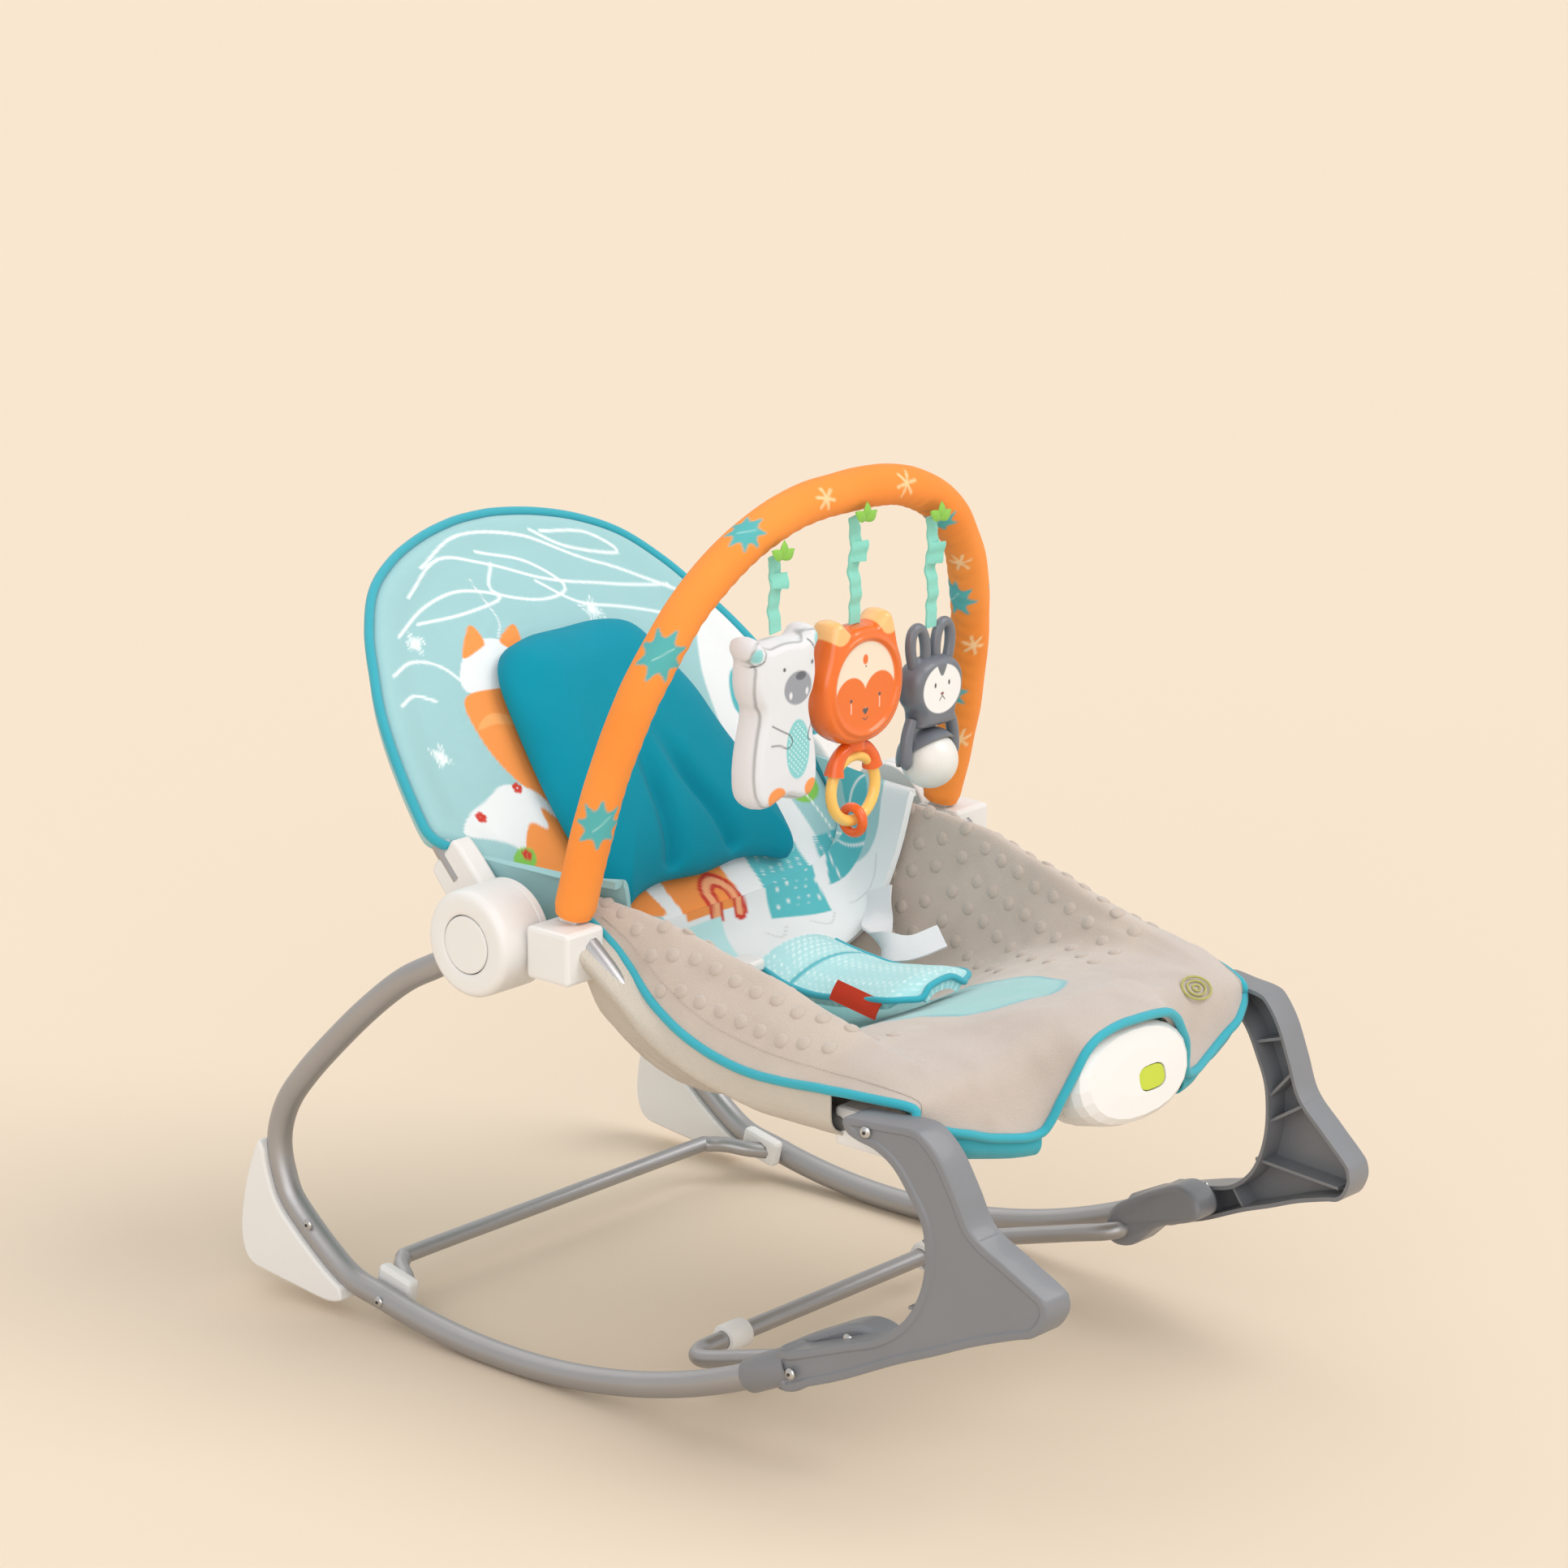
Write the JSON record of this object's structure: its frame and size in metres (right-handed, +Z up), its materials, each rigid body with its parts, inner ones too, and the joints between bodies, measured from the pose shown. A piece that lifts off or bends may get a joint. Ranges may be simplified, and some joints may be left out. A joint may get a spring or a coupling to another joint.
{
  "type": "bouncer seat",
  "caption": "Padded baby bouncer seat on a curved tube rocker, with a reclining back, head cushion, folding kickstand, vibration unit and an arched bar of hanging toys.",
  "frame": {"origin": "centre of the bounding box in X and Y, on the floor in Z", "axes": "+Z up; +X across the seat, from the seated child's right to left as seen from the foot end; -Y is the foot end and +Y the head end"},
  "size_m": [0.4908, 0.7274, 0.6367],
  "materials": {
    "rocker_tube": "satin",
    "seat_tube": "satin",
    "leg_grey": "satin",
    "white_plastic": "satin",
    "button_lime": "satin",
    "bright_steel": "satin",
    "pillow_teal": "matte",
    "back_aqua": "matte",
    "seat_minky": "matte",
    "webbing_white": "matte",
    "strap_mint": "matte",
    "sleeve_orange": "matte",
    "toy_orange": "gloss",
    "toy_yellow": "gloss",
    "toy_grey": "satin",
    "toy_white": "satin",
    "toy_plush": "matte",
    "battery_wrap": "satin"
  },
  "bodies": {
    "frame": {"battery_cell": "battery_wrap", "battery_door": "white_plastic", "cross_tube_clamp_left": "white_plastic", "cross_tube_clamp_right": "white_plastic", "crotch_pad": "back_aqua", "front_leg_left": "leg_grey", "front_leg_right": "leg_grey", "harness_buckle": "toy_white", "hub_housing_left": "white_plastic", "hub_housing_right": "white_plastic", "kickstand_housing_left": "leg_grey", "kickstand_housing_right": "leg_grey", "leg_bracket_left": "white_plastic", "leg_bracket_right": "white_plastic", "leg_socket_screw_left": "bright_steel", "leg_socket_screw_right": "bright_steel", "leg_top_screw_left": "bright_steel", "leg_top_screw_right": "bright_steel", "rear_cross_tube": "rocker_tube", "rear_stop_left": "white_plastic", "rear_stop_right": "white_plastic", "recline_pin_left": "bright_steel", "recline_pin_right": "bright_steel", "rocker_tube_left": "rocker_tube", "rocker_tube_right": "rocker_tube", "seat_frame_tube": "seat_tube", "seat_pad": "seat_minky", "toy_bar_socket_left": "white_plastic", "toy_bar_socket_right": "white_plastic", "vibration_front_shell": "white_plastic", "vibration_motor": "bright_steel", "vibration_rear_shell": "white_plastic", "waist_strap_left": "webbing_white", "waist_strap_right": "webbing_white"},
    "backrest": {"back_arm_left": "white_plastic", "back_arm_right": "white_plastic", "back_frame_tube": "rocker_tube", "back_pad": "back_aqua", "head_pillow": "pillow_teal"},
    "kickstand": {"kickstand_tube": "seat_tube", "kickstand_foot_left": "white_plastic", "kickstand_foot_right": "white_plastic"},
    "recline_button_left": {"recline_button_left": "white_plastic"},
    "recline_button_right": {"recline_button_right": "white_plastic"},
    "vibration_button": {"vibration_button": "button_lime"},
    "motor_weight": {"motor_weight": "bright_steel"},
    "toy_bar": {"toy_bar_core": "toy_white", "toy_bar_sleeve": "sleeve_orange", "toy_bar_plug_left": "toy_white", "toy_bar_plug_right": "toy_white"},
    "bear": {"bear_strap": "strap_mint", "bear_toy": "toy_plush"},
    "fox": {"fox_strap": "strap_mint", "fox_toy": "toy_orange"},
    "fox_ring": {"fox_ring": "toy_yellow"},
    "fox_bead": {"fox_bead": "toy_orange"},
    "rabbit": {"rabbit_strap": "strap_mint", "rabbit_toy": "toy_grey"},
    "rabbit_ball": {"rabbit_ball": "toy_white"}
  },
  "joints": [
    {"name": "recline", "type": "hinge", "parent": "frame", "child": "backrest", "pos_m": [0, 0.1006, 0.3235], "axis": [1, 0, 0], "range_deg": [-14, 12]},
    {"name": "kickstand_fold", "type": "hinge", "parent": "frame", "child": "kickstand", "pos_m": [0, -0.1535, 0.062], "axis": [-1, 0, 0], "range_deg": [0, 120]},
    {"name": "recline_button_press_left", "type": "slide", "parent": "frame", "child": "recline_button_left", "axis": [1, 0, 0], "range_m": [0, 0.004], "stiffness_N_per_m": 400},
    {"name": "recline_button_press_right", "type": "slide", "parent": "frame", "child": "recline_button_right", "axis": [-1, 0, 0], "range_m": [0, 0.004], "stiffness_N_per_m": 400},
    {"name": "vibration_button_press", "type": "slide", "parent": "frame", "child": "vibration_button", "axis": [0, 0.9781, -0.2079], "range_m": [0, 0.003], "stiffness_N_per_m": 400},
    {"name": "motor_spin", "type": "hinge", "parent": "frame", "child": "motor_weight", "pos_m": [-0.0415, -0.26959, 0.25367], "axis": [1, 0, 0], "continuous": true},
    {"name": "toy_bar_lift", "type": "slide", "parent": "frame", "child": "toy_bar", "axis": [0, -0.2696, 0.963], "range_m": [0, 0.05]},
    {"name": "bear_swing", "type": "hinge", "parent": "toy_bar", "child": "bear", "pos_m": [-0.083, -0.04, 0.59114], "axis": [1, 0, 0], "range_deg": [-25, 25]},
    {"name": "fox_swing", "type": "hinge", "parent": "toy_bar", "child": "fox", "pos_m": [0, -0.04, 0.6045], "axis": [1, 0, 0], "range_deg": [-25, 25]},
    {"name": "rabbit_swing", "type": "hinge", "parent": "toy_bar", "child": "rabbit", "pos_m": [0.083, -0.04, 0.59114], "axis": [1, 0, 0], "range_deg": [-25, 25]},
    {"name": "fox_ring_swing", "type": "hinge", "parent": "fox", "child": "fox_ring", "pos_m": [0, -0.04, 0.4335], "axis": [1, 0, 0], "range_deg": [-20, 20]},
    {"name": "fox_bead_slide", "type": "hinge", "parent": "fox_ring", "child": "fox_bead", "pos_m": [0, -0.04, 0.4112], "axis": [0, 1, 0], "range_deg": [-60, 60]},
    {"name": "rabbit_ball_spin", "type": "hinge", "parent": "rabbit", "child": "rabbit_ball", "pos_m": [0.083, -0.04, 0.415], "axis": [1, 0, 0], "continuous": true}
  ]
}
